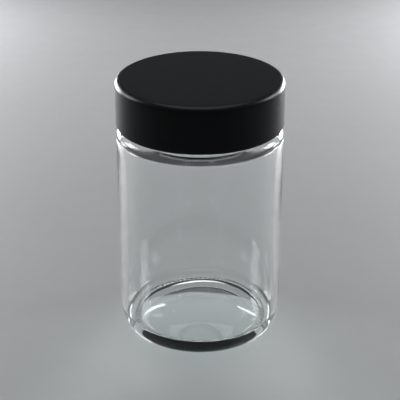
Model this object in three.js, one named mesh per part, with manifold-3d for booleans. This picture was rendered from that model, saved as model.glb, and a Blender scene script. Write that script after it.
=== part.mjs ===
// Specimen jar: a straight-sided clear glass jar closed by a smooth double-wall screw lid.
// Millimetres, +Z up. The origin is the middle of the base and the jar's axis is Z.
// Pieces: glass_jar, lid_shell (smooth outer cover), lid_insert (threaded inner cup that is
// snapped into the cover), liner_backing (soft sealing disc) and liner_facing (its film).

import * as THREE from 'three';
import { mergeVertices } from 'three/addons/utils/BufferGeometryUtils.js';
import Module from 'manifold-3d';

// ---- Driving dimensions -------------------------------------------------------------------

const SEGMENTS = 60; // facets around every round piece
const LID_RADIUS = 36.5;
const LID_BOTTOM_Z = 97.6;
const LID_TOP_Z = 118;
const LID_TOP_FILLET = 2.5;

const BODY_RADIUS = 36.45;
const BODY_WALL = 2.9;
const HEEL_WIDTH = 5.35; // the heel is a quarter of an ellipse, taller than it is wide
const HEEL_HEIGHT = 12.3;
const SHOULDER_Z = 96.4;
const SHOULDER_RADIUS = 3.6;
const INNER_SHOULDER_RADIUS = 3;
const SHOULDER_WALL = 3.3;
const FLOOR_Z = 7;
const FLOOR_CROWN = 0.1;
const FLOOR_FILLET = 2;
const PUSH_UP = 4.5; // height of the hollow under the base at its middle
const DOME_SHARE = 0.9; // part of the push-up lost between the middle and the foot ring, if the dome went on
const FOOT_INNER_RADIUS = 30.5; // inner edge of the flat ring that the jar stands on
const FOOT_EDGE_WIDTH = 3.2; // slope between the dome and the foot ring
const DOME_STEPS = 4;
const FOOT_EDGE_STEPS = 4;

const NECK_RADIUS = 31.5;
const NECK_WALL = 2.8;
const NECK_ROOT_FILLET = 0.8;
const RIM_FILLET = 0.9;

const THREAD_PITCH = 5.08; // five threads to the inch, right-handed
const THREAD_TURNS = 1.5;
const THREAD_TOP_GAP = 3; // rim to the middle of the thread's upper end
const NECK_THREAD_DEPTH = 1.15;
const NECK_THREAD_ROOT = 2.3;
const NECK_THREAD_CREST = 0.9;
const THREAD_SINK = 0.4; // how far a ridge reaches into the wall that carries it
const THREAD_FADE = 12; // degrees over which a ridge dies out at each end
const THREAD_END_SHARE = 0.05; // of the full depth, left at the very end of a ridge

const SHELL_WALL = 1.5;
const SHELL_TOP = 1.6;
const SHELL_INNER_FILLET = 1;
const SHELL_EDGE_RADIUS = 0.35;

const INSERT_BORE_RADIUS = 32.95;
const INSERT_WALL = 1.1;
const INSERT_TOP = 1.1;
const INSERT_TOP_GAP = 0.3;
const INSERT_BOTTOM_Z = LID_BOTTOM_Z + 1.35;
const INSERT_FLANGE_HEIGHT = 1.2;
const INSERT_FLANGE_GAP = 0.25;
const INSERT_LEAD_IN = 0.5; // chamfer at the mouth of the insert
const INSERT_INNER_FILLET = 0.3;
const INSERT_TOP_FILLET = 0.8;
const INSERT_THREAD_DEPTH = 1.1;
const INSERT_THREAD_ROOT = 1.6;
const INSERT_THREAD_CREST = 0.6;
const THREAD_MESH_DROP = 1.4; // insert ridge below the neck ridge when the lid is tight

const SNAP_BEAD_DEPTH = 0.45;
const SNAP_BEAD_HEIGHT = 0.7;
const SNAP_BEAD_CATCH = 0.2; // steep upper side of the bead
const SNAP_BEAD_RAMP = 0.4; // sloping lower side of the bead
const SNAP_BEAD_GAP = 0.25;
const KEY_COUNT = 16; // ribs in the cover that stop the insert turning in it
const KEY_DEPTH = 0.55;
const KEY_WIDTH = 1.6;
const KEY_CLEARANCE = 0.3;

const LINER_RADIUS = 32.6;
const LINER_GAP = 0.05;
const BACKING_THICKNESS = 1.05;
const FACING_THICKNESS = 0.25;

// ---- Heights worked down from the lid's top -------------------------------------------------

const INSERT_TOP_Z = LID_TOP_Z - SHELL_TOP - INSERT_TOP_GAP;
const BACKING_TOP_Z = INSERT_TOP_Z - INSERT_TOP - LINER_GAP;
const FACING_TOP_Z = BACKING_TOP_Z - BACKING_THICKNESS;
const RIM_Z = FACING_TOP_Z - FACING_THICKNESS;
const THREAD_TOP_Z = RIM_Z - THREAD_TOP_GAP;

// ---- Geometry helpers -------------------------------------------------------------------------

const wasm = await Module();
wasm.setup();

// A round stretch of an outline, as [radius, height] points. Angles are in degrees from +radius.
// A rise other than the radius makes it part of an ellipse.
function arc(centreRadius, centreZ, radius, fromDegrees, toDegrees, steps, rise = radius) {
  return Array.from({ length: steps + 1 }, (_, i) => {
    const angle = THREE.MathUtils.degToRad(fromDegrees + ((toDegrees - fromDegrees) * i) / steps);
    return [centreRadius + radius * Math.cos(angle), centreZ + rise * Math.sin(angle)];
  });
}

// Turns a closed counterclockwise outline of [radius, height] points around Z.
function turned(outline) {
  const points = outline.map(([radius, z]) => new THREE.Vector2(radius, z));
  return new THREE.LatheGeometry(points, SEGMENTS).rotateX(Math.PI / 2);
}

// A closed geometry as a solid that can be joined and cut.
function toSolid(geometry) {
  const bare = geometry.clone();
  bare.deleteAttribute('normal');
  bare.deleteAttribute('uv');
  const merged = mergeVertices(bare, 1e-4);
  const corners = Array.from(merged.index.array);
  const triangles = [];
  for (let i = 0; i < corners.length; i += 3) {
    const [a, b, c] = corners.slice(i, i + 3);
    if (a !== b && b !== c && c !== a) triangles.push(a, b, c);
  }
  return new wasm.Manifold(new wasm.Mesh({
    numProp: 3,
    vertProperties: new Float32Array(merged.attributes.position.array),
    triVerts: new Uint32Array(triangles),
  }));
}

function toGeometry(solid) {
  const { vertProperties, triVerts } = solid.getMesh();
  const geometry = new THREE.BufferGeometry();
  geometry.setAttribute('position', new THREE.BufferAttribute(vertProperties, 3));
  geometry.setIndex(new THREE.BufferAttribute(triVerts, 1));
  geometry.computeVertexNormals();
  return geometry;
}

// A thread ridge: a four-sided section is extruded straight and then wound down a right-hand
// helix. The section's x is the distance out from the wall, and its y is along the axis.
function threadRidge({ wallRadius, depth, root, crest, topZ }) {
  const section = new THREE.Shape([
    new THREE.Vector2(-Math.sign(depth) * THREAD_SINK, root / 2),
    new THREE.Vector2(-Math.sign(depth) * THREAD_SINK, -root / 2),
    new THREE.Vector2(depth, -crest / 2),
    new THREE.Vector2(depth, crest / 2),
  ]);
  const sweep = THREAD_TURNS * 2 * Math.PI;
  const ridge = new THREE.ExtrudeGeometry(section, {
    depth: sweep,
    steps: THREAD_TURNS * SEGMENTS,
    bevelEnabled: false,
  });
  const fade = THREE.MathUtils.degToRad(THREAD_FADE);
  const position = ridge.attributes.position;
  for (let i = 0; i < position.count; i += 1) {
    const angle = position.getZ(i);
    const strength = Math.min(1, THREAD_END_SHARE + Math.min(angle, sweep - angle) / fade);
    const outward = position.getX(i);
    const standsProud = outward * depth > 0;
    const radius = wallRadius + (standsProud ? outward * strength : outward);
    const z = topZ + position.getY(i) - (THREAD_PITCH * angle) / (2 * Math.PI);
    position.setXYZ(i, radius * Math.cos(-angle), radius * Math.sin(-angle), z);
  }
  return toSolid(ridge);
}

// Boxes evenly spaced around the axis, each centred at the given radius and height.
function boxRing({ count, radial, width, height, radius, z }) {
  return Array.from({ length: count }, (_, i) => {
    const angle = ((i + 0.5) / count) * 2 * Math.PI;
    const box = new THREE.BoxGeometry(radial, width, height);
    return toSolid(box.translate(radius, 0, z).rotateZ(angle));
  });
}

function piece(name, geometry, { color, roughness, metalness = 0, opacity = 1 }) {
  const material = new THREE.MeshStandardMaterial({
    color,
    roughness,
    metalness,
    opacity,
    transparent: opacity < 1,
  });
  const mesh = new THREE.Mesh(geometry, material);
  mesh.name = name;
  return mesh;
}

// ---- Glass jar ----------------------------------------------------------------------------------

// The hollow under the base: a dome that falls away in a smooth slope to the ring it stands on.
function baseOutline() {
  const slopeStart = FOOT_INNER_RADIUS - FOOT_EDGE_WIDTH;
  const height = (radius) => {
    const dome = PUSH_UP * (1 - DOME_SHARE * (radius / FOOT_INNER_RADIUS) ** 2);
    return dome * (1 - THREE.MathUtils.smoothstep(radius, slopeStart, FOOT_INNER_RADIUS));
  };
  const dome = Array.from({ length: DOME_STEPS }, (_, i) => (i / DOME_STEPS) * slopeStart);
  const slope = Array.from({ length: FOOT_EDGE_STEPS + 1 }, (_, i) => (
    slopeStart + (i / FOOT_EDGE_STEPS) * FOOT_EDGE_WIDTH
  ));
  return [...dome, ...slope].map((radius) => [radius, height(radius)]);
}

function glassJar() {
  const inside = BODY_RADIUS - BODY_WALL;
  const bore = NECK_RADIUS - NECK_WALL;
  const shoulderCentre = BODY_RADIUS - SHOULDER_RADIUS;
  const innerCorner = inside - INNER_SHOULDER_RADIUS - bore;
  const innerShoulderZ = SHOULDER_Z - SHOULDER_WALL;
  const outline = [
    ...baseOutline(),
    ...arc(BODY_RADIUS - HEEL_WIDTH, HEEL_HEIGHT, HEEL_WIDTH, -90, 0, 8, HEEL_HEIGHT),
    ...arc(shoulderCentre, SHOULDER_Z - SHOULDER_RADIUS, SHOULDER_RADIUS, 0, 90, 5),
    ...arc(NECK_RADIUS + NECK_ROOT_FILLET, SHOULDER_Z + NECK_ROOT_FILLET, NECK_ROOT_FILLET, -90, -180, 2),
    ...arc(NECK_RADIUS - RIM_FILLET, RIM_Z - RIM_FILLET, RIM_FILLET, 0, 90, 3),
    ...arc(bore + RIM_FILLET, RIM_Z - RIM_FILLET, RIM_FILLET, 90, 180, 3),
    ...arc(bore + innerCorner, innerShoulderZ + innerCorner, innerCorner, -180, -90, 3),
    ...arc(bore + innerCorner, innerShoulderZ - INNER_SHOULDER_RADIUS, INNER_SHOULDER_RADIUS, 90, 0, 4),
    ...arc(inside - FLOOR_FILLET, FLOOR_Z + FLOOR_FILLET, FLOOR_FILLET, 0, -90, 4),
    [0, FLOOR_Z + FLOOR_CROWN],
  ];
  const thread = threadRidge({
    wallRadius: NECK_RADIUS,
    depth: NECK_THREAD_DEPTH,
    root: NECK_THREAD_ROOT,
    crest: NECK_THREAD_CREST,
    topZ: THREAD_TOP_Z,
  });
  return toGeometry(toSolid(turned(outline)).add(thread));
}

// ---- Lid ------------------------------------------------------------------------------------------

// The smooth cover: flat top, plain side, a snap bead low inside and key ribs above it.
function lidShell() {
  const inner = LID_RADIUS - SHELL_WALL;
  const underTop = LID_TOP_Z - SHELL_TOP;
  const beadTop = INSERT_BOTTOM_Z - SNAP_BEAD_GAP;
  const beadBottom = beadTop - SNAP_BEAD_HEIGHT;
  const outline = [
    [inner, LID_BOTTOM_Z],
    ...arc(LID_RADIUS - SHELL_EDGE_RADIUS, LID_BOTTOM_Z + SHELL_EDGE_RADIUS, SHELL_EDGE_RADIUS, -90, 0, 2),
    ...arc(LID_RADIUS - LID_TOP_FILLET, LID_TOP_Z - LID_TOP_FILLET, LID_TOP_FILLET, 0, 90, 5),
    [0, LID_TOP_Z],
    [0, underTop],
    ...arc(inner - SHELL_INNER_FILLET, underTop - SHELL_INNER_FILLET, SHELL_INNER_FILLET, 90, 0, 2),
    [inner, beadTop + SNAP_BEAD_CATCH],
    [inner - SNAP_BEAD_DEPTH, beadTop],
    [inner - SNAP_BEAD_DEPTH, beadBottom + SNAP_BEAD_RAMP],
    [inner, beadBottom],
    [inner, LID_BOTTOM_Z],
  ];
  const keyBottom = INSERT_BOTTOM_Z;
  const keys = boxRing({
    count: KEY_COUNT,
    radial: KEY_DEPTH + SHELL_WALL / 2,
    width: KEY_WIDTH,
    height: underTop + SHELL_TOP / 2 - keyBottom,
    radius: inner - KEY_DEPTH / 2 + SHELL_WALL / 4,
    z: (underTop + SHELL_TOP / 2 + keyBottom) / 2,
  });
  return toGeometry(keys.reduce((solid, key) => solid.add(key), toSolid(turned(outline))));
}

// The threaded cup inside the cover. Its notched flange sits between the key ribs.
function lidInsert() {
  const outer = INSERT_BORE_RADIUS + INSERT_WALL;
  const flange = LID_RADIUS - SHELL_WALL - INSERT_FLANGE_GAP;
  const flangeTop = INSERT_BOTTOM_Z + INSERT_FLANGE_HEIGHT;
  const underTop = INSERT_TOP_Z - INSERT_TOP;
  const outline = [
    [0, INSERT_TOP_Z],
    [0, underTop],
    [INSERT_BORE_RADIUS - INSERT_INNER_FILLET, underTop],
    [INSERT_BORE_RADIUS, underTop - INSERT_INNER_FILLET],
    [INSERT_BORE_RADIUS, INSERT_BOTTOM_Z + INSERT_LEAD_IN],
    [INSERT_BORE_RADIUS + INSERT_LEAD_IN, INSERT_BOTTOM_Z],
    [flange, INSERT_BOTTOM_Z],
    [flange, flangeTop],
    [outer, flangeTop],
    ...arc(outer - INSERT_TOP_FILLET, INSERT_TOP_Z - INSERT_TOP_FILLET, INSERT_TOP_FILLET, 0, 90, 2),
    [0, INSERT_TOP_Z],
  ];
  const thread = threadRidge({
    wallRadius: INSERT_BORE_RADIUS,
    depth: -INSERT_THREAD_DEPTH,
    root: INSERT_THREAD_ROOT,
    crest: INSERT_THREAD_CREST,
    topZ: THREAD_TOP_Z - THREAD_MESH_DROP,
  });
  const notches = boxRing({
    count: KEY_COUNT,
    radial: 2 * (KEY_DEPTH + KEY_CLEARANCE - INSERT_FLANGE_GAP),
    width: KEY_WIDTH + 2 * KEY_CLEARANCE,
    height: 2 * INSERT_FLANGE_HEIGHT,
    radius: flange,
    z: INSERT_BOTTOM_Z + INSERT_FLANGE_HEIGHT / 2,
  });
  const cup = toSolid(turned(outline)).add(thread);
  return toGeometry(notches.reduce((solid, notch) => solid.subtract(notch), cup));
}

function linerDisc(bottomZ, topZ) {
  return turned([[0, bottomZ], [LINER_RADIUS, bottomZ], [LINER_RADIUS, topZ], [0, topZ]]);
}

// ---- Assembly ---------------------------------------------------------------------------------------

const blackPlastic = { color: 0x111418, roughness: 0.42 };

const specimenJar = new THREE.Group();
specimenJar.add(
  piece('glass_jar', glassJar(), { color: 0xe6efec, roughness: 0.03, opacity: 0.35 }),
  piece('lid_shell', lidShell(), blackPlastic),
  piece('lid_insert', lidInsert(), { ...blackPlastic, roughness: 0.5 }),
  piece('liner_backing', linerDisc(FACING_TOP_Z, BACKING_TOP_Z), { color: 0xf0efea, roughness: 0.9 }),
  piece('liner_facing', linerDisc(RIM_Z, FACING_TOP_Z), { color: 0xf6f6f4, roughness: 0.35 }),
);

export default specimenJar;
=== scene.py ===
# Specimen jar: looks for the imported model. Metres, +Z up, the jar's axis is Z.
# Fine turned meshes replace the five CAD nodes: the glass jar, the lid's cover and threaded
# insert, and the liner's foam backing and film facing.
import math

import bpy
import numpy as np
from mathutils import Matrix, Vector


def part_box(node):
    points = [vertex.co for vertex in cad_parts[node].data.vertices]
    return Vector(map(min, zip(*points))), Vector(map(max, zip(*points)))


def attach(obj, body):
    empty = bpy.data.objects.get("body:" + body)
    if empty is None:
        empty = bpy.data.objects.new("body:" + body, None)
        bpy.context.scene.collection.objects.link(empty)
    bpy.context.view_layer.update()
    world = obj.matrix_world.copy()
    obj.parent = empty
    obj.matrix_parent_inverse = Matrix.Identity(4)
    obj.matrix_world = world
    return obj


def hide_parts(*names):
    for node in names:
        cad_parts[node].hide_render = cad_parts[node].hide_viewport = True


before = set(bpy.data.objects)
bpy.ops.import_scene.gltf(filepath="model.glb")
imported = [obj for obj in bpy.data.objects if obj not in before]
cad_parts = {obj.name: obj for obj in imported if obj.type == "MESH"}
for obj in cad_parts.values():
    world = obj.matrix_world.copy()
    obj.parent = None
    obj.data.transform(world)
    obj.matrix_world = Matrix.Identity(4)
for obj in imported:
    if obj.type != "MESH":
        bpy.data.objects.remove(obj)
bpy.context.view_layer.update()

MM = 0.001

# ---- Sizes taken from the frame ----------------------------------------------------------------

JAR_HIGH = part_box("glass_jar")[1]
SHELL_LOW, SHELL_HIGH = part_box("lid_shell")
INSERT_LOW, INSERT_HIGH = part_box("lid_insert")
BACKING_LOW, BACKING_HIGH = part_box("liner_backing")
FACING_LOW, FACING_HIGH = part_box("liner_facing")

BODY_R = JAR_HIGH[0]
RIM_Z = JAR_HIGH[2]
LID_R = SHELL_HIGH[0]
LID_BOTTOM = SHELL_LOW[2]
LID_TOP = SHELL_HIGH[2]
INSERT_BOTTOM = INSERT_LOW[2]
INSERT_TOP_Z = INSERT_HIGH[2]
LINER_R = BACKING_HIGH[0]

# ---- Other sizes, as in the CAD part -----------------------------------------------------------

WALL = 2.9 * MM
HEEL_WIDTH = 5.35 * MM
HEEL_HEIGHT = 12.3 * MM
SHOULDER_Z = 96.4 * MM
SHOULDER_R = 3.6 * MM
INNER_SHOULDER_R = 3.0 * MM
SHOULDER_WALL = 3.3 * MM
FLOOR_Z = 7.0 * MM
FLOOR_CROWN = 0.1 * MM
FLOOR_FILLET = 2.0 * MM
PUSH_UP = 4.5 * MM      # height of the hollow under the base at its middle
DOME_SHARE = 0.9        # part of the push-up lost by the foot ring, if the dome went on to it
FOOT_R = 30.5 * MM      # inner edge of the flat ring that the jar stands on
FOOT_EDGE = 3.2 * MM    # slope between the dome and the foot ring

NECK_R = 31.5 * MM
BORE_R = NECK_R - 2.8 * MM
NECK_FILLET = 0.8 * MM
RIM_FILLET = 0.9 * MM

PITCH = 5.08 * MM
THREAD_TURNS = 1.5
THREAD_TOP = RIM_Z - 3.0 * MM
THREAD_DROP = 1.4 * MM  # insert ridge below the neck ridge when the lid is tight
THREAD_FADE = math.radians(12)
NECK_THREAD_ROOT = 2.3 * MM
NECK_THREAD_CREST = 0.9 * MM
INSERT_THREAD_ROOT = 1.6 * MM
INSERT_THREAD_CREST = 0.6 * MM

SHELL_WALL = 1.5 * MM
SHELL_TOP = 1.6 * MM
SHELL_INNER_FILLET = 1.0 * MM
LID_FILLET = 2.5 * MM
SHELL_EDGE = 0.35 * MM
SNAP_BEAD_GAP = 0.25 * MM
INSERT_BORE = 32.95 * MM
INSERT_WALL = 1.1 * MM
INSERT_TOP = 1.1 * MM
INSERT_LEAD_IN = 0.5 * MM
INSERT_INNER_FILLET = 0.3 * MM
INSERT_TOP_FILLET = 0.8 * MM
FLANGE_H = 1.2 * MM
FLANGE_GAP = 0.25 * MM
KEYS = 16
KEY_DEPTH = 0.55 * MM
KEY_WIDTH = 1.6 * MM
KEY_CLEARANCE = 0.3 * MM

# ---- Fine detail that only the looks have ------------------------------------------------------

NECK_THREAD_DEPTH = 1.12 * MM   # both a little less than in the CAD part
INSERT_THREAD_DEPTH = 1.08 * MM

MARKS = 80              # moulded grip marks just inside the foot ring
MARK_IN_R = 27.9 * MM
MARK_OUT_R = 30.3 * MM
MARK_EASE = 0.7 * MM
MARK_LEAN = 0.4         # how narrow a mark is, from 0 to 1
MARK_DEPTH = 0.9 * MM

# Waves in the blown inside: (size in mm, waves around, phase, turn of phase per metre).
WALL_WAVES = ((0.10, 2, 0.6, 0), (0.05, 5, 1.9, 40), (0.05, 3, 0, -90))
FLOOR_WAVES = ((0.12, 2, 1.1, 0), (0.07, 3, 0, 260))
WALL_WAVE_TOP = LID_BOTTOM - 8 * MM
WALL_WAVE_FADE = 9 * MM
FLOOR_WAVE_TOP = FLOOR_Z + 7 * MM
FLOOR_WAVE_FADE = 6 * MM
FLOOR_WAVE_R = 20 * MM

# The snap bead's rounded section, down from its upper edge, in mm: (in from the wall, up).
SNAP_BEAD = ((0, 0.2), (0.39, 0.04), (0.45, -0.08), (0.45, -0.3), (0.04, -0.64), (0, -0.74))
SHELL_INNER_EDGE = 0.2 * MM
KEY_FOOT = 0.1 * MM     # height over which a key rib begins
KEY_TOP_GAP = 0.2 * MM  # from a key rib's upper end to the cover's ceiling
KEY_SLOPE = 0.12 * MM   # width of the slope at a key rib's side
INSERT_EDGE = 0.15 * MM
INSERT_ROOT_FILLET = 0.2 * MM
BACKING_EDGE = 0.15 * MM
FACING_EDGE = 0.05 * MM
RIM_DENT = 0.08 * MM    # mark pressed into the film by the glass rim
RIM_DENT_WIDTH = 0.9 * MM

# ---- How fine the meshes are -------------------------------------------------------------------

AXIS_R = 1e-9           # a smaller radius is a point on the axis
SLACK = 0.01 * MM       # allowed when a point is told by its radius or height
HEEL_START_R = 31.4 * MM
HEEL_STEP = 0.4 * MM
GLASS_CENTRE_R = 1.5 * MM
LINER_CENTRE_R = 2 * MM
LID_CENTRE_R = 3 * MM
INSERT_MIDDLE_R = 18 * MM
GLASS_AROUND = 3 * MARKS
MARK_AROUND = 12 * MARKS
LID_AROUND = 256


# ---- Outline and mesh helpers ------------------------------------------------------------------

def arc(centre_r, centre_z, radius, start, end, steps, rise=None):
    """A round stretch of an outline as (radius, height) points, angles in degrees from +radius.
    rise is its radius upward, where that isn't the same as outward."""
    rise = radius if rise is None else rise
    turns = np.radians(np.linspace(start, end, steps + 1))
    return [(centre_r + radius * math.cos(t), centre_z + rise * math.sin(t)) for t in turns]


def straight(start, end, steps):
    """Evenly spaced (radius, height) points between two points, without the two ends."""
    shares = np.linspace(0, 1, steps + 1)[1:-1]
    return [tuple(np.array(start) + (np.array(end) - np.array(start)) * s) for s in shares]


def smooth(x):
    """0 below 0, 1 above 1, and an easy curve between."""
    x = np.clip(x, 0, 1)
    return x * x * (3 - 2 * x)


def around(count):
    """Evenly spaced angles round the axis."""
    return np.linspace(0, 2 * math.pi, count, endpoint=False)


def ring_faces(low, high):
    """Faces between two rings of vertex numbers. One may be a single point, or hold a whole
    number of times as many vertices as the other."""
    a, b = len(low), len(high)
    if a == 1:
        return [(low[0], high[(i + 1) % b], high[i]) for i in range(b)]
    if b == 1:
        return [(low[i], low[(i + 1) % a], high[0]) for i in range(a)]
    if a == b:
        return [(low[i], low[(i + 1) % a], high[(i + 1) % b], high[i]) for i in range(a)]
    if a > b:
        return [tuple(reversed(face)) for face in ring_faces(high, low)]
    share = b // a
    half = share // 2
    faces = []
    for i in range(a):
        here, after = low[i], low[(i + 1) % a]
        fine = [high[(i * share + k) % b] for k in range(share + 1)]
        faces += [(here, fine[k + 1], fine[k]) for k in range(half)]
        faces.append((here, after, fine[half]))
        faces += [(after, fine[k + 1], fine[k]) for k in range(half, share)]
    return faces


def loops(rings, shape=None):
    """Loops of points from (radius, height, angles) rings. shape moves a loop's points."""
    made = []
    for radius, z, angles in rings:
        if radius < AXIS_R:
            made.append(np.array([[0.0, 0.0, z]]))
            continue
        radii = np.full(len(angles), radius)
        heights = np.full(len(angles), z)
        if shape is not None:
            radii, heights = shape(radii, heights, angles)
        made.append(np.stack([radii * np.cos(angles), radii * np.sin(angles), heights], 1))
    return made


def turned(name, *surfaces):
    """A closed mesh of turned surfaces, each a list of loops. One surface runs from axis to
    axis. Of two, each runs to or from the axis, and their open edges are joined."""
    faces = []
    rows = []
    count = 0
    for surface in surfaces:
        own = []
        for points in surface:
            own.append(range(count, count + len(points)))
            count += len(points)
        for low, high in zip(own, own[1:]):
            faces += ring_faces(low, high)
        rows += own
    if len(surfaces) > 1:
        faces += ring_faces(rows[-1], rows[0])
    vertices = np.concatenate([points for surface in surfaces for points in surface])
    mesh = bpy.data.meshes.new(name)
    mesh.from_pydata(vertices.tolist(), [], faces)
    mesh.validate()
    mesh.shade_smooth()
    piece = bpy.data.objects.new(name, mesh)
    bpy.context.scene.collection.objects.link(piece)
    return piece


def ridge(angles, heights, top, root, crest):
    """How far a thread ridge stands out, 0 to 1, at points on the wall that carries it."""
    out = np.zeros(len(angles))
    turn = 2 * math.pi
    sweep = THREAD_TURNS * turn
    for whole in range(math.ceil(THREAD_TURNS) + 1):
        wound = (turn - angles) % turn + whole * turn
        centre = top - PITCH * wound / turn
        away = np.abs(heights - centre)
        section = 1 - smooth((away - crest / 2) / ((root - crest) / 2))
        ends = smooth(np.minimum(wound, sweep - wound) / THREAD_FADE)
        out = np.maximum(out, section * ends * (wound <= sweep))
    return out


# ---- Glass jar ---------------------------------------------------------------------------------

def under_height(radius):
    """The underside of the base: dome, sloping edge, foot ring and the start of the heel."""
    if radius > FOOT_R:
        reach = max(radius - BODY_R + HEEL_WIDTH, 0) / HEEL_WIDTH
        return HEEL_HEIGHT * (1 - math.sqrt(1 - reach ** 2))
    dome = PUSH_UP * (1 - DOME_SHARE * (radius / FOOT_R) ** 2)
    return dome * (1 - smooth((radius - FOOT_R + FOOT_EDGE) / FOOT_EDGE))


def under_rings():
    """Rings from the middle of the base out to the heel, fine where the grip marks are."""
    coarse = around(GLASS_AROUND)
    fine = around(MARK_AROUND)
    slope_start = FOOT_R - FOOT_EDGE
    rings = [(0.0, under_height(0), coarse)]
    for radius in np.linspace(GLASS_CENTRE_R, slope_start, 16):
        rings.append((radius, under_height(radius), coarse))
    for radius in np.linspace(slope_start, HEEL_START_R, 30)[1:]:
        rings.append((radius, under_height(radius), fine))
    return rings


def outer_glass():
    """Heel, wall, shoulder, neck and rim, from the foot up to the sealing land and in."""
    reach = HEEL_START_R + HEEL_STEP - BODY_R + HEEL_WIDTH
    heel_start = -90 + math.degrees(math.asin(reach / HEEL_WIDTH))
    shoulder_low = SHOULDER_Z - SHOULDER_R
    neck_low = SHOULDER_Z + NECK_FILLET
    rim_low = RIM_Z - RIM_FILLET
    points = arc(BODY_R - HEEL_WIDTH, HEEL_HEIGHT, HEEL_WIDTH, heel_start, 0, 22, HEEL_HEIGHT)
    points += straight((BODY_R, HEEL_HEIGHT), (BODY_R, shoulder_low), 20)
    points += arc(BODY_R - SHOULDER_R, shoulder_low, SHOULDER_R, 0, 90, 14)
    points += arc(NECK_R + NECK_FILLET, neck_low, NECK_FILLET, -90, -180, 5)
    points += straight((NECK_R, neck_low), (NECK_R, rim_low), 60)
    points += arc(NECK_R - RIM_FILLET, rim_low, RIM_FILLET, 0, 90, 7)
    points += arc(BORE_R + RIM_FILLET, rim_low, RIM_FILLET, 90, 180, 7)
    return points


def inner_glass():
    """Bore, inner shoulder, wall, floor fillet and floor, from the rim down to the axis."""
    inside = BODY_R - WALL
    corner = inside - INNER_SHOULDER_R - BORE_R
    low = SHOULDER_Z - SHOULDER_WALL
    fillet_r = inside - FLOOR_FILLET
    points = straight((BORE_R, RIM_Z - RIM_FILLET), (BORE_R, low + corner), 8)
    points += arc(BORE_R + corner, low + corner, corner, -180, -90, 6)
    points += arc(BORE_R + corner, low - INNER_SHOULDER_R, INNER_SHOULDER_R, 90, 0, 9)
    points += straight((inside, low - INNER_SHOULDER_R), (inside, FLOOR_Z + FLOOR_FILLET), 24)
    points += arc(fillet_r, FLOOR_Z + FLOOR_FILLET, FLOOR_FILLET, 0, -90, 12)
    for radius in np.linspace(fillet_r, GLASS_CENTRE_R, 16)[1:]:
        points.append((radius, FLOOR_Z + FLOOR_CROWN * (1 - (radius / fillet_r) ** 2)))
    return points + [(0.0, FLOOR_Z + FLOOR_CROWN)]


def hollow_between_marks(radii, angles):
    """How far the glass is hollowed up between two grip marks, and 0 outside their band."""
    swell = 0.5 + 0.5 * np.cos(angles * MARKS)
    bar = smooth((swell - MARK_LEAN) / (1 - MARK_LEAN))
    inner_end = smooth((radii - MARK_IN_R) / MARK_EASE)
    outer_end = 1 - smooth((radii - MARK_OUT_R + MARK_EASE) / MARK_EASE)
    return MARK_DEPTH * (1 - bar) * inner_end * outer_end


def outer_shape(radii, heights, angles):
    """The neck's thread and the hollows between the grip marks."""
    on_neck = (heights > SHOULDER_Z + NECK_FILLET) & (heights < RIM_Z - RIM_FILLET)
    stands = ridge(angles, heights, THREAD_TOP, NECK_THREAD_ROOT, NECK_THREAD_CREST)
    radii = radii + np.where(on_neck, stands * NECK_THREAD_DEPTH, 0)
    return radii, heights + np.where(heights < FLOOR_Z, hollow_between_marks(radii, angles), 0)


def waves(table, angles, along):
    """The sum of a table's waves, in metres, at points some way along the outline."""
    total = 0
    for size, count, phase, turn in table:
        total = total + size * np.sin(count * angles + phase + turn * along)
    return total * MM


def inner_shape(radii, heights, angles):
    """The blown inside is a little uneven, most where the glass is thick."""
    on_wall = smooth((heights - FLOOR_Z) / WALL_WAVE_FADE)
    on_wall = on_wall * smooth((WALL_WAVE_TOP - heights) / WALL_WAVE_FADE)
    on_floor = smooth((FLOOR_WAVE_TOP - heights) / FLOOR_WAVE_FADE) * smooth(radii / FLOOR_WAVE_R)
    moved_radii = radii - waves(WALL_WAVES, angles, heights) * on_wall
    return moved_radii, heights + waves(FLOOR_WAVES, angles, radii) * on_floor


def glass_jar():
    """Outside and inside as one surface, from the dome's middle over the rim to the floor's."""
    coarse = around(GLASS_AROUND)
    outside = under_rings() + [(radius, z, coarse) for radius, z in outer_glass()]
    inside = [(radius, z, coarse) for radius, z in inner_glass()]
    return turned("glass_jar_fine", loops(outside, outer_shape) + loops(inside, inner_shape))


# ---- Lid ---------------------------------------------------------------------------------------

def key_angles():
    """Angles round the lid, with extra ones at the sides of each key rib and its notch."""
    inner = LID_R - SHELL_WALL
    step = KEY_SLOPE / LID_R
    extra = []
    for key in range(KEYS):
        centre = (key + 0.5) / KEYS * 2 * math.pi
        for half_width in (KEY_WIDTH / 2, KEY_WIDTH / 2 + KEY_CLEARANCE):
            for side in (-half_width / inner, half_width / inner):
                extra += [centre + side + shift for shift in (-step, 0, step)]
    angles = np.concatenate([around(LID_AROUND), np.array(extra) % (2 * math.pi)])
    angles = np.unique(np.round(angles, 6))
    far_enough = np.diff(angles) > 0.3 * step
    return angles[np.concatenate([[True], far_enough])]


def near_key(angles, half_width):
    """1 on a key rib and 0 beside it, with a short slope at its sides."""
    spacing = 2 * math.pi / KEYS
    away = np.abs((angles % spacing) - spacing / 2) * (LID_R - SHELL_WALL)
    return 1 - smooth((away - half_width) / KEY_SLOPE + 0.5)


def shell_outside():
    """The cover from the middle of its lower edge up the side and in to the top's middle."""
    points = arc(LID_R - SHELL_EDGE, LID_BOTTOM + SHELL_EDGE, SHELL_EDGE, -90, 0, 5)
    points += straight((LID_R, LID_BOTTOM + SHELL_EDGE), (LID_R, LID_TOP - LID_FILLET), 12)
    points += arc(LID_R - LID_FILLET, LID_TOP - LID_FILLET, LID_FILLET, 0, 90, 14)
    for radius in np.linspace(LID_R - LID_FILLET, LID_CENTRE_R, 10)[1:]:
        points.append((radius, LID_TOP))
    return points + [(0.0, LID_TOP)]


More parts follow.
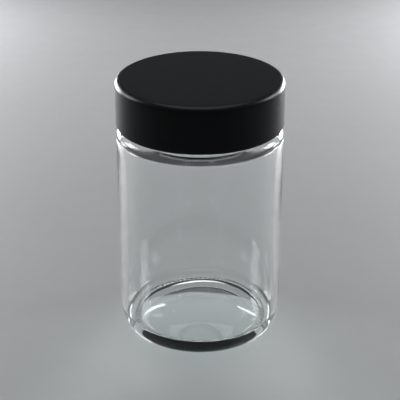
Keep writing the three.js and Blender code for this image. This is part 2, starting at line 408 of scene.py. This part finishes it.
def shell_inside():
    """The cover from the middle of its ceiling out, down past the snap bead to the lower edge."""
    inner = LID_R - SHELL_WALL
    under = LID_TOP - SHELL_TOP
    fillet_r = inner - SHELL_INNER_FILLET
    fillet_z = under - SHELL_INNER_FILLET
    key_low = INSERT_BOTTOM + KEY_FOOT
    bead_top = INSERT_BOTTOM - SNAP_BEAD_GAP
    points = [(0.0, under)]
    points += [(radius, under) for radius in np.linspace(LID_CENTRE_R, fillet_r, 8)]
    points += arc(fillet_r, fillet_z, SHELL_INNER_FILLET, 90, 0, 5)[1:]
    points += straight((inner, fillet_z), (inner, key_low), 8)
    points += [(inner, key_low), (inner, INSERT_BOTTOM)]
    points += [(inner - depth * MM, bead_top + rise * MM) for depth, rise in SNAP_BEAD]
    points += [(inner, LID_BOTTOM + SHELL_INNER_EDGE), (inner + SHELL_INNER_EDGE, LID_BOTTOM)]
    return points


def shell_keys(radii, heights, angles):
    """Key ribs on the inside of the cover, above the snap bead."""
    inner = LID_R - SHELL_WALL
    near_wall = (radii > inner - SHELL_WALL) & (radii <= inner)
    above_bead = heights > INSERT_BOTTOM + KEY_FOOT / 2
    below_ceiling = heights < LID_TOP - SHELL_TOP - KEY_TOP_GAP
    on_key = near_wall & above_bead & below_ceiling
    return radii - np.where(on_key, KEY_DEPTH * near_key(angles, KEY_WIDTH / 2), 0), heights


def lid_shell():
    """The cover. Its outside and its inside meet at the lower edge."""
    angles = key_angles()
    outside = [(radius, z, angles) for radius, z in shell_outside()]
    inside = [(radius, z, angles) for radius, z in shell_inside()]
    return turned("lid_shell_fine", loops(outside, shell_keys), loops(inside, shell_keys))


def insert_outline():
    """The insert from its ceiling out, down the bore, round the flange, up and in to its top."""
    outer = INSERT_BORE + INSERT_WALL
    flange = LID_R - SHELL_WALL - FLANGE_GAP
    flange_top = INSERT_BOTTOM + FLANGE_H
    under = INSERT_TOP_Z - INSERT_TOP
    bore_high = under - INSERT_INNER_FILLET
    bore_low = INSERT_BOTTOM + INSERT_LEAD_IN
    fillet_z = INSERT_TOP_Z - INSERT_TOP_FILLET
    root_z = flange_top + INSERT_ROOT_FILLET
    points = [(0.0, under), (LID_CENTRE_R, under), (INSERT_MIDDLE_R, under)]
    points += [(INSERT_BORE - INSERT_INNER_FILLET, under), (INSERT_BORE, bore_high)]
    points += straight((INSERT_BORE, bore_high), (INSERT_BORE, bore_low), 64)
    points += [(INSERT_BORE, bore_low), (INSERT_BORE + INSERT_EDGE, INSERT_BOTTOM + INSERT_EDGE)]
    points += [(INSERT_BORE + INSERT_LEAD_IN, INSERT_BOTTOM), (flange - INSERT_EDGE, INSERT_BOTTOM)]
    points += [(flange, INSERT_BOTTOM + INSERT_EDGE), (flange, flange_top - INSERT_EDGE)]
    points += [(flange - INSERT_EDGE, flange_top), (outer + INSERT_ROOT_FILLET, flange_top)]
    points += [(outer, root_z)] + straight((outer, root_z), (outer, fillet_z), 8)
    points += arc(outer - INSERT_TOP_FILLET, fillet_z, INSERT_TOP_FILLET, 0, 90, 5)
    return points + [(radius, INSERT_TOP_Z) for radius in (INSERT_MIDDLE_R, LID_CENTRE_R, 0.0)]


def insert_shape(radii, heights, angles):
    """The bore's thread and the notches in the flange."""
    under = INSERT_TOP_Z - INSERT_TOP
    on_bore = (np.abs(radii - INSERT_BORE) < SLACK) & (heights < under) & (heights > INSERT_BOTTOM)
    top = THREAD_TOP - THREAD_DROP
    stands = ridge(angles, heights, top, INSERT_THREAD_ROOT, INSERT_THREAD_CREST)
    radii = radii - np.where(on_bore, stands * INSERT_THREAD_DEPTH, 0)
    rim_r = LID_R - SHELL_WALL - FLANGE_GAP - 2 * INSERT_EDGE
    on_rim = (radii > rim_r) & (heights < INSERT_BOTTOM + FLANGE_H + SLACK)
    notch = KEY_DEPTH + KEY_CLEARANCE - FLANGE_GAP
    notches = notch * near_key(angles, KEY_WIDTH / 2 + KEY_CLEARANCE)
    return radii - np.where(on_rim, notches, 0), heights


def lid_insert():
    """The threaded cup that the cover holds."""
    angles = key_angles()
    rings = [(radius, z, angles) for radius, z in insert_outline()]
    return turned("lid_insert_fine", loops(rings, insert_shape))


def disc(name, low, high, edge, dent=0.0):
    """A liner sheet with eased edges. dent presses a shallow ring into its lower side."""
    angles = around(LID_AROUND // 2)
    land = (BORE_R + NECK_R) / 2
    points = [(0.0, low)]
    for radius in np.linspace(LINER_CENTRE_R, LINER_R - edge, 60):
        points.append((radius, low + dent * math.exp(-(((radius - land) / RIM_DENT_WIDTH) ** 2))))
    points += arc(LINER_R - edge, low + edge, edge, -60, 0, 3)
    points += arc(LINER_R - edge, high - edge, edge, 0, 90, 4)
    points += [(LINER_R / 2, high), (0.0, high)]
    return turned(name, loops([(radius, z, angles) for radius, z in points]))


# ---- Materials ---------------------------------------------------------------------------------

class Nodes:
    """A short way to build one material's node tree."""

    def __init__(self, name):
        self.material = bpy.data.materials.new(name)
        self.material.use_nodes = True
        self.tree = self.material.node_tree
        self.tree.nodes.clear()
        self.output = self.add("ShaderNodeOutputMaterial")
        self.coordinates = self.add("ShaderNodeTexCoord").outputs["Object"]

    def add(self, kind, **values):
        node = self.tree.nodes.new(kind)
        for key, value in values.items():
            if hasattr(node, key):
                setattr(node, key, value)
            else:
                node.inputs[key.replace("_", " ")].default_value = value
        return node

    def link(self, source, target):
        self.tree.links.new(source, target)

    def noise(self, scale, detail=3.0, roughness=0.5, stretch=None):
        """Noise over the piece. scale is in features per metre; stretch squeezes it by axis."""
        node = self.add("ShaderNodeTexNoise", Scale=scale, Detail=detail, Roughness=roughness)
        source = self.coordinates
        if stretch is not None:
            mapping = self.add("ShaderNodeMapping")
            mapping.inputs["Scale"].default_value = stretch
            self.link(source, mapping.inputs["Vector"])
            source = mapping.outputs[0]
        self.link(source, node.inputs["Vector"])
        return node.outputs[0]

    def spread(self, source, low, high, to_low, to_high):
        node = self.add("ShaderNodeMapRange", clamp=True)
        values = {"From Min": low, "From Max": high, "To Min": to_low, "To Max": to_high}
        for name, value in values.items():
            node.inputs[name].default_value = value
        self.link(source, node.inputs["Value"])
        return node.outputs[0]

    def math(self, operation, a, b):
        node = self.add("ShaderNodeMath", operation=operation)
        for socket, value in zip(node.inputs, (a, b)):
            if isinstance(value, (int, float)):
                socket.default_value = value
            else:
                self.link(value, socket)
        return node.outputs[0]

    def blend(self, share, low, high):
        node = self.add("ShaderNodeMix", data_type="RGBA")
        node.inputs[6].default_value = (*low, 1)
        node.inputs[7].default_value = (*high, 1)
        self.link(share, node.inputs[0])
        return node.outputs[2]

    def bump(self, height, distance, strength=1.0):
        node = self.add("ShaderNodeBump")
        node.inputs["Strength"].default_value = strength
        node.inputs["Distance"].default_value = distance
        self.link(height, node.inputs["Height"])
        return node.outputs[0]


def glass_material():
    """Clear glass with faint ripples and a green absorption. For light on its way to a lamp it
    is a tinted pane, darker toward the edges."""
    n = Nodes("flint_glass")
    shader = n.add("ShaderNodeBsdfPrincipled", IOR=1.52)
    shader.inputs["Transmission Weight"].default_value = 1.0
    shader.inputs["Specular IOR Level"].default_value = 0.5
    cloud = n.blend(n.noise(60, 4), (0.985, 0.995, 0.993), (0.995, 0.999, 0.998))
    n.link(cloud, shader.inputs["Base Color"])
    n.link(n.spread(n.noise(140, 5), 0.45, 0.75, 0.0, 0.018), shader.inputs["Roughness"])
    n.link(n.bump(n.noise(45, 2, 0.4, (1, 1, 0.35)), 0.00012), shader.inputs["Normal"])
    lamp_side = n.add("ShaderNodeBsdfTransparent")
    edge = n.add("ShaderNodeLayerWeight", Blend=0.35)
    pane = n.blend(edge.outputs["Facing"], (0.985, 0.99, 0.99), (0.62, 0.66, 0.65))
    n.link(pane, lamp_side.inputs["Color"])
    path = n.add("ShaderNodeLightPath")
    mix = n.add("ShaderNodeMixShader")
    n.link(path.outputs["Is Shadow Ray"], mix.inputs[0])
    n.link(shader.outputs[0], mix.inputs[1])
    n.link(lamp_side.outputs[0], mix.inputs[2])
    n.link(mix.outputs[0], n.output.inputs["Surface"])
    tint = n.add("ShaderNodeVolumeAbsorption")
    tint.inputs["Color"].default_value = (0.62, 0.84, 0.80, 1)
    tint.inputs["Density"].default_value = 5.0
    n.link(tint.outputs[0], n.output.inputs["Volume"])
    return n.material


def cover_material():
    """Fine matte moulded black plastic."""
    n = Nodes("matte_black_cover")
    shader = n.add("ShaderNodeBsdfPrincipled", IOR=1.49)
    shader.inputs["Specular IOR Level"].default_value = 0.2
    broad = n.noise(38, 4, 0.6)
    fine = n.noise(5200, 2, 0.6)
    colour = n.blend(broad, (0.0030, 0.0036, 0.0042), (0.0050, 0.0058, 0.0068))
    n.link(colour, shader.inputs["Base Color"])
    broad_gloss = n.spread(broad, 0.3, 0.7, 0.26, 0.32)
    fine_gloss = n.spread(fine, 0.3, 0.7, -0.02, 0.04)
    n.link(n.math("ADD", broad_gloss, fine_gloss), shader.inputs["Roughness"])
    n.link(n.bump(fine, 0.00003, 0.5), shader.inputs["Normal"])
    n.link(shader.outputs[0], n.output.inputs["Surface"])
    return n.material


def insert_material():
    """Plainer black plastic, slightly shinier and with faint flow marks."""
    n = Nodes("moulded_black_insert")
    shader = n.add("ShaderNodeBsdfPrincipled", IOR=1.49)
    shader.inputs["Specular IOR Level"].default_value = 0.45
    flow = n.noise(90, 4, 0.6, (1, 1, 4))
    colour = n.blend(flow, (0.010, 0.010, 0.011), (0.018, 0.018, 0.020))
    n.link(colour, shader.inputs["Base Color"])
    n.link(n.spread(flow, 0.3, 0.7, 0.3, 0.42), shader.inputs["Roughness"])
    n.link(n.bump(n.noise(2600, 2), 0.00002, 0.4), shader.inputs["Normal"])
    n.link(shader.outputs[0], n.output.inputs["Surface"])
    return n.material


def foam_material():
    """Closed-cell foam."""
    n = Nodes("white_foam")
    shader = n.add("ShaderNodeBsdfPrincipled", IOR=1.5)
    shader.inputs["Subsurface Weight"].default_value = 0.15
    shader.inputs["Subsurface Scale"].default_value = 0.001
    cells = n.add("ShaderNodeTexVoronoi", Scale=2400)
    n.link(n.coordinates, cells.inputs["Vector"])
    colour = n.blend(n.noise(300), (0.72, 0.72, 0.68), (0.84, 0.84, 0.81))
    n.link(colour, shader.inputs["Base Color"])
    n.link(n.spread(n.noise(700), 0.3, 0.7, 0.75, 0.95), shader.inputs["Roughness"])
    n.link(n.bump(cells.outputs["Distance"], 0.00015), shader.inputs["Normal"])
    n.link(shader.outputs[0], n.output.inputs["Surface"])
    return n.material


def film_material():
    """Smooth, slightly wavy white film."""
    n = Nodes("white_film")
    shader = n.add("ShaderNodeBsdfPrincipled", IOR=1.5)
    colour = n.blend(n.noise(120, 4), (0.80, 0.80, 0.78), (0.88, 0.88, 0.87))
    n.link(colour, shader.inputs["Base Color"])
    n.link(n.spread(n.noise(260, 3), 0.3, 0.7, 0.22, 0.38), shader.inputs["Roughness"])
    n.link(n.bump(n.noise(900, 3), 0.00003, 0.6), shader.inputs["Normal"])
    n.link(shader.outputs[0], n.output.inputs["Surface"])
    return n.material


def floor_material():
    """Plain matte backdrop."""
    n = Nodes("pale_floor")
    shader = n.add("ShaderNodeBsdfPrincipled", IOR=1.45)
    shader.inputs["Specular IOR Level"].default_value = 0.2
    colour = n.blend(n.noise(6, 3), (0.205, 0.21, 0.215), (0.23, 0.235, 0.24))
    n.link(colour, shader.inputs["Base Color"])
    n.link(n.spread(n.noise(60, 3), 0.3, 0.7, 0.6, 0.7), shader.inputs["Roughness"])
    n.link(shader.outputs[0], n.output.inputs["Surface"])
    return n.material


# ---- Floor, light and camera -------------------------------------------------------------------

def floor():
    """A plain square of floor under the jar."""
    half = 4.0
    drop = 0.02 * MM  # keeps the floor clear of the foot ring
    mesh = bpy.data.meshes.new("studio_floor")
    corners = [(-half, -half, 0), (half, -half, 0), (half, half, 0), (-half, half, 0)]
    mesh.from_pydata(corners, [], [(0, 1, 2, 3)])
    piece = bpy.data.objects.new("studio_floor", mesh)
    bpy.context.scene.collection.objects.link(piece)
    piece.location.z = -drop
    mesh.materials.append(floor_material())


def soft_light(name, place, target, width, height, power):
    """A rectangular lamp at a place, turned toward a target. Sizes in metres, power in watts."""
    data = bpy.data.lights.new(name, "AREA")
    data.shape = "RECTANGLE"
    data.size = width
    data.size_y = height
    data.energy = power
    lamp = bpy.data.objects.new(name, data)
    lamp.location = place
    lamp.rotation_euler = (Vector(target) - Vector(place)).to_track_quat("-Z", "Y").to_euler()
    lamp.visible_camera = False
    bpy.context.scene.collection.objects.link(lamp)


def studio_light():
    """Two low strips behind the jar light its edges, and the rest is soft fill."""
    for side, name in ((-1, "left"), (1, "right")):
        strip = (side * 0.37, 0.48, 0.105)
        soft_light(name + "_strip", strip, (0, 0, 0.105), width=0.22, height=0.2, power=4.5)
        fill = (side * 0.57, 0.2, 0.32)
        soft_light(name + "_side", fill, (0, 0, 0.1), width=0.22, height=0.3, power=1.8)
    soft_light("overhead", (0, 0.1, 1.3), (0, 0, 0.06), width=1.2, height=1.2, power=7)
    world = bpy.data.worlds.new("studio")
    world.use_nodes = True
    background = world.node_tree.nodes["Background"]
    background.inputs["Color"].default_value = (0.92, 0.96, 1.0, 1)
    background.inputs["Strength"].default_value = 0.14
    bpy.context.scene.world = world


def camera():
    """The photograph's viewing angle and framing, fitted to the lid's and the jar's outlines."""
    elevation = math.radians(25.64)
    distance = 0.5504
    aim = Vector((0, 0, 0.05988))
    back = Vector((0, -math.cos(elevation), math.sin(elevation)))
    data = bpy.data.cameras.new("camera")
    data.sensor_width = 36
    data.lens = 110.8
    data.clip_start = 0.01
    data.clip_end = 20
    view = bpy.data.objects.new("camera", data)
    view.location = aim + back * distance
    view.rotation_euler = (-back).to_track_quat("-Z", "Y").to_euler()
    bpy.context.scene.collection.objects.link(view)
    bpy.context.scene.camera = view


# ---- Build -------------------------------------------------------------------------------------

def finish_piece(piece, material, body, node):
    """Gives a piece its material, puts it under its body's empty and hides the CAD node it stands
    for.
    """
    piece.data.materials.append(material)
    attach(piece, body)
    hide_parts(node)


camera()
studio_light()
floor()
finish_piece(glass_jar(), glass_material(), "jar", "glass_jar")
finish_piece(lid_shell(), cover_material(), "lid", "lid_shell")
finish_piece(lid_insert(), insert_material(), "lid", "lid_insert")
backing = disc("liner_backing_fine", BACKING_LOW[2], BACKING_HIGH[2], BACKING_EDGE)
finish_piece(backing, foam_material(), "liner", "liner_backing")
facing = disc("liner_facing_fine", FACING_LOW[2], FACING_HIGH[2], FACING_EDGE, RIM_DENT)
finish_piece(facing, film_material(), "liner", "liner_facing")

bpy.context.scene.view_settings.view_transform = "Standard"
